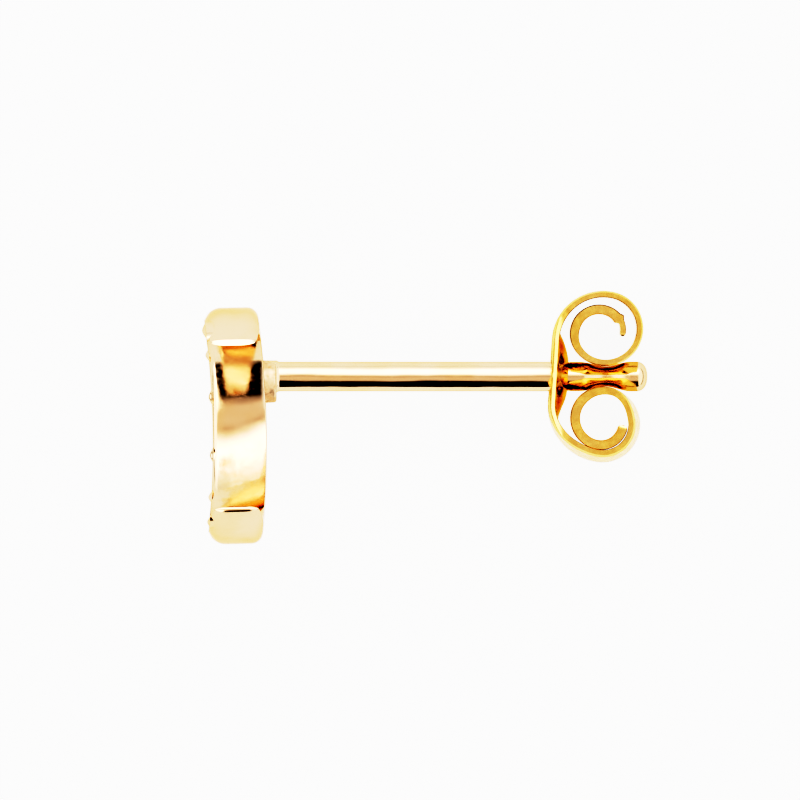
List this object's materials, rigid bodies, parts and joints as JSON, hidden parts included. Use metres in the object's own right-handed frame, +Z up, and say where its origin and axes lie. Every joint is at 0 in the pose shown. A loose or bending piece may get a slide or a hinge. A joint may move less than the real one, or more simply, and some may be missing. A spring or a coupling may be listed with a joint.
{
  "type": "mother-of-pearl stud earring with butterfly clutch",
  "caption": "Crescent stud earring with a mother-of-pearl inlay, a straight grooved post and a sliding butterfly clutch.",
  "frame": {"origin": "on the surface that the stud lies on, under the middle of its bounding box", "axes": "+X along the post from the head to its tip, +Y across, towards the clutch's upper scroll, +Z up, out of the crescent's mouth"},
  "size_m": [0.012, 0.0068, 0.0054],
  "materials": {
    "gold_plated_brass": "polished yellow gold plating",
    "mother_of_pearl": "polished, pearly lustre"
  },
  "bodies": {
    "stud": {"setting_and_post": "gold_plated_brass", "pearl_inlay": "mother_of_pearl"},
    "clutch": {"butterfly_clutch": "gold_plated_brass"}
  },
  "joints": [
    {"name": "clutch_slide", "type": "slide", "parent": "stud", "child": "clutch", "axis": [1, 0, 0], "range_m": [-0.0073, 0.0075]}
  ]
}
